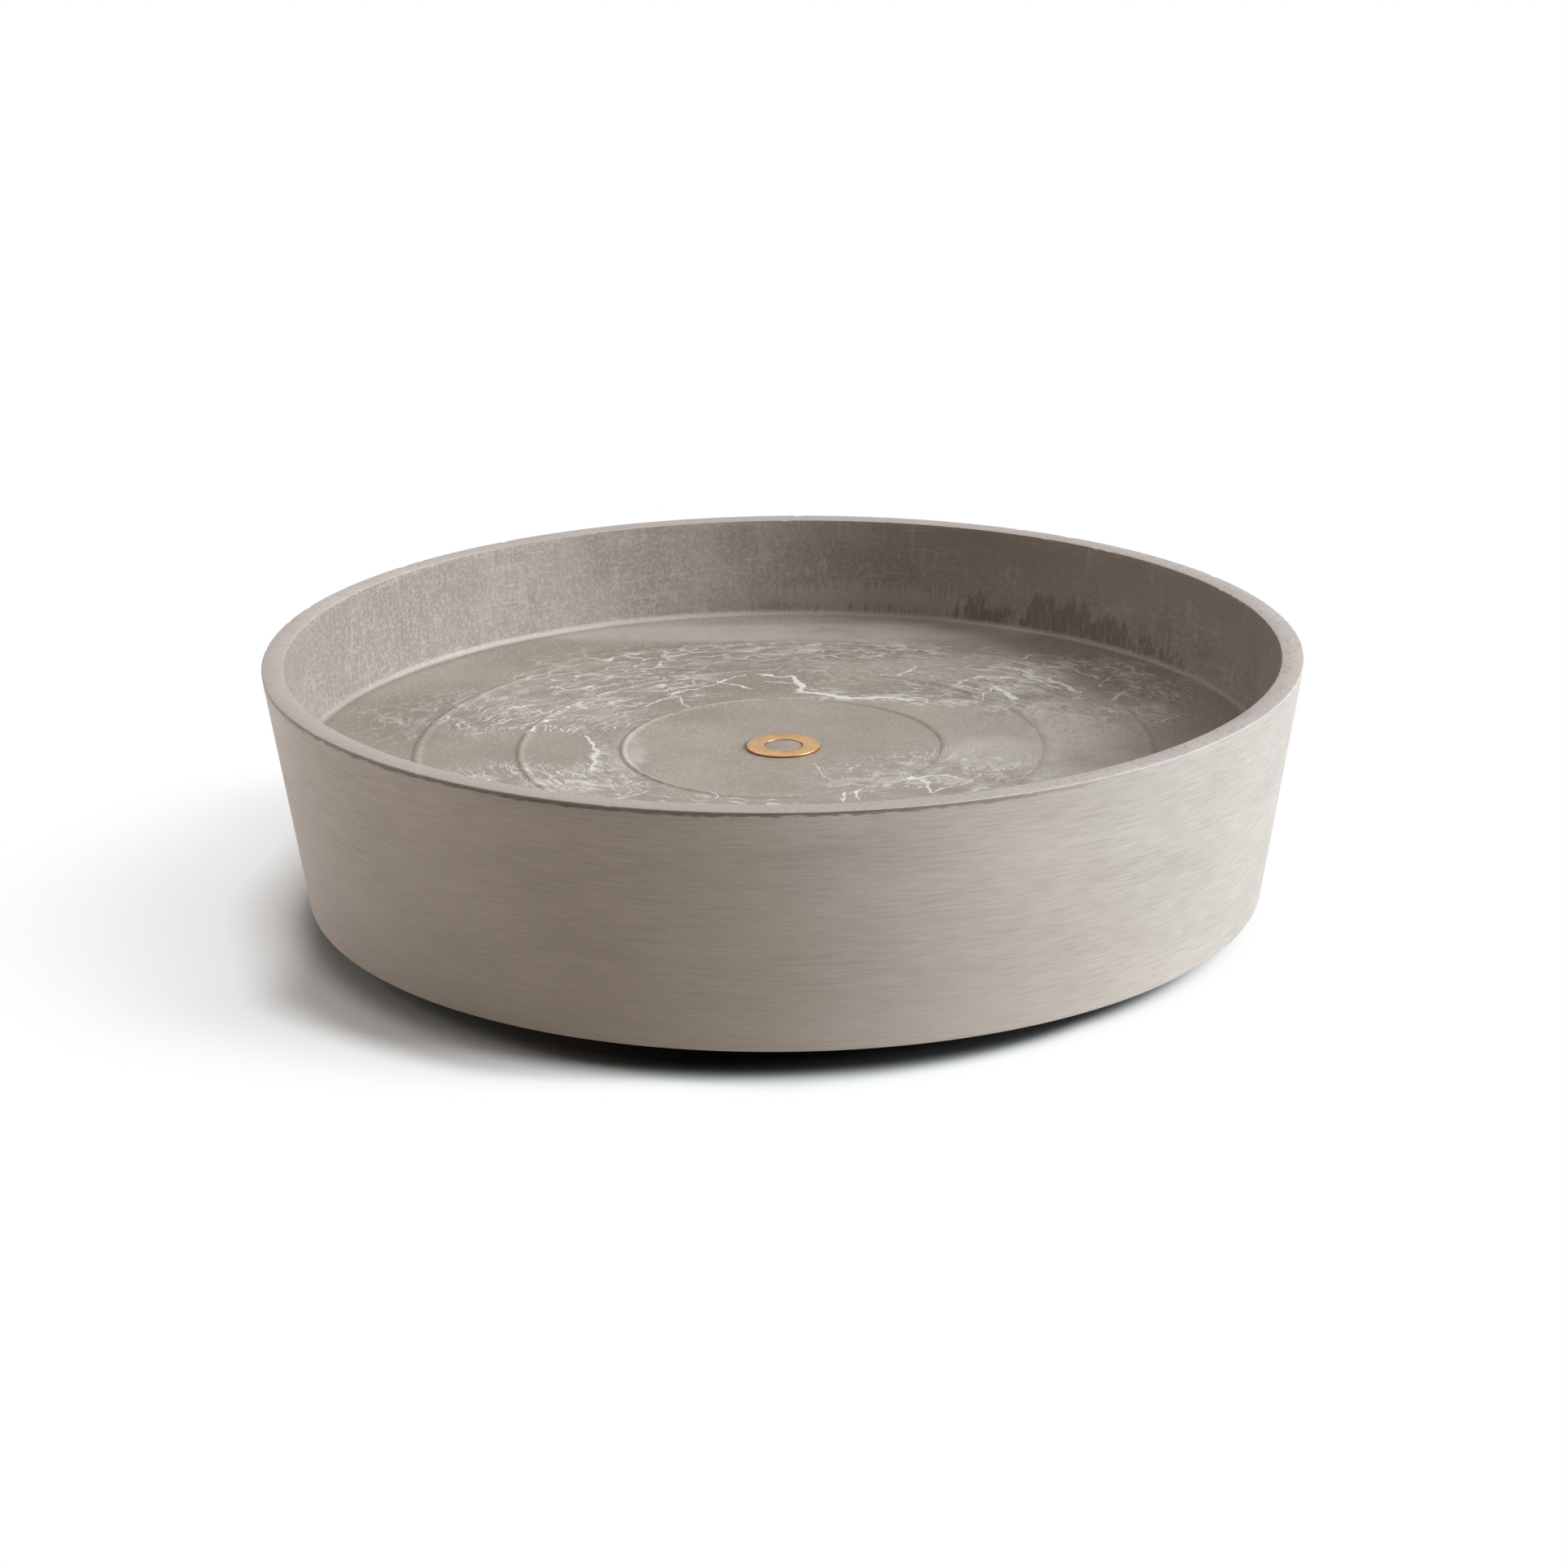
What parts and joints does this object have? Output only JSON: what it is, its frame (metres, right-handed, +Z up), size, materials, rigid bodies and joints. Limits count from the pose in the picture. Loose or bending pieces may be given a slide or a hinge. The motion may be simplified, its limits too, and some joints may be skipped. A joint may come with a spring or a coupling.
{
  "type": "rolling plant saucer",
  "caption": "Round taupe plant saucer with a flat rim, a shallow beaded well, a brass drain ring with a plug, and a deep skirt that hides swivel casters.",
  "frame": {"origin": "on the ground plane that the wheels stand on, on the axis of the round saucer", "axes": "+Z up; -Y towards the viewer of the picture; the casters trail towards -X at rest"},
  "size_m": [0.3998, 0.3998, 0.1031],
  "materials": {
    "shell": "matte, mineral filled, finely brushed outside",
    "brass": "satin",
    "seal": "matte",
    "plug": "matte",
    "zinc": "zinc plated",
    "bright_steel": "bright",
    "hub": "satin",
    "tyre": "matte"
  },
  "bodies": {
    "saucer": {"saucer_shell": "shell", "drain_ring": "brass", "drain_seal": "seal", "drain_nut": "brass", "caster_screws": "zinc", "caster_plate_1": "zinc", "caster_plate_2": "zinc", "caster_plate_3": "zinc", "caster_plate_4": "zinc", "kingpin_1": "bright_steel", "kingpin_2": "bright_steel", "kingpin_3": "bright_steel", "kingpin_4": "bright_steel"},
    "plug": {"drain_plug": "plug"},
    "swivel_1": {"fork_1": "zinc", "bearing_balls_1": "bright_steel", "axle_bolt_1": "bright_steel", "axle_nut_1": "bright_steel"},
    "wheel_1": {"wheel_hub_1": "hub", "wheel_tyre_1": "tyre"},
    "swivel_2": {"fork_2": "zinc", "bearing_balls_2": "bright_steel", "axle_bolt_2": "bright_steel", "axle_nut_2": "bright_steel"},
    "wheel_2": {"wheel_hub_2": "hub", "wheel_tyre_2": "tyre"},
    "swivel_3": {"fork_3": "zinc", "bearing_balls_3": "bright_steel", "axle_bolt_3": "bright_steel", "axle_nut_3": "bright_steel"},
    "wheel_3": {"wheel_hub_3": "hub", "wheel_tyre_3": "tyre"},
    "swivel_4": {"fork_4": "zinc", "bearing_balls_4": "bright_steel", "axle_bolt_4": "bright_steel", "axle_nut_4": "bright_steel"},
    "wheel_4": {"wheel_hub_4": "hub", "wheel_tyre_4": "tyre"}
  },
  "joints": [
    {"name": "plug_lift", "type": "slide", "parent": "saucer", "child": "plug", "axis": [0, 0, 1], "range_m": [0, 0.016]},
    {"name": "swivel_turn_1", "type": "hinge", "parent": "saucer", "child": "swivel_1", "pos_m": [0.09324, 0.09324, 0.046], "axis": [0, 0, 1], "continuous": true},
    {"name": "wheel_spin_1", "type": "hinge", "parent": "swivel_1", "child": "wheel_1", "pos_m": [0.07724, 0.09324, 0.02], "axis": [0, 1, 0], "continuous": true},
    {"name": "swivel_turn_2", "type": "hinge", "parent": "saucer", "child": "swivel_2", "pos_m": [-0.09324, 0.09324, 0.046], "axis": [0, 0, 1], "continuous": true},
    {"name": "wheel_spin_2", "type": "hinge", "parent": "swivel_2", "child": "wheel_2", "pos_m": [-0.10924, 0.09324, 0.02], "axis": [0, 1, 0], "continuous": true},
    {"name": "swivel_turn_3", "type": "hinge", "parent": "saucer", "child": "swivel_3", "pos_m": [-0.09324, -0.09324, 0.046], "axis": [0, 0, 1], "continuous": true},
    {"name": "wheel_spin_3", "type": "hinge", "parent": "swivel_3", "child": "wheel_3", "pos_m": [-0.10924, -0.09324, 0.02], "axis": [0, 1, 0], "continuous": true},
    {"name": "swivel_turn_4", "type": "hinge", "parent": "saucer", "child": "swivel_4", "pos_m": [0.09324, -0.09324, 0.046], "axis": [0, 0, 1], "continuous": true},
    {"name": "wheel_spin_4", "type": "hinge", "parent": "swivel_4", "child": "wheel_4", "pos_m": [0.07724, -0.09324, 0.02], "axis": [0, 1, 0], "continuous": true}
  ]
}
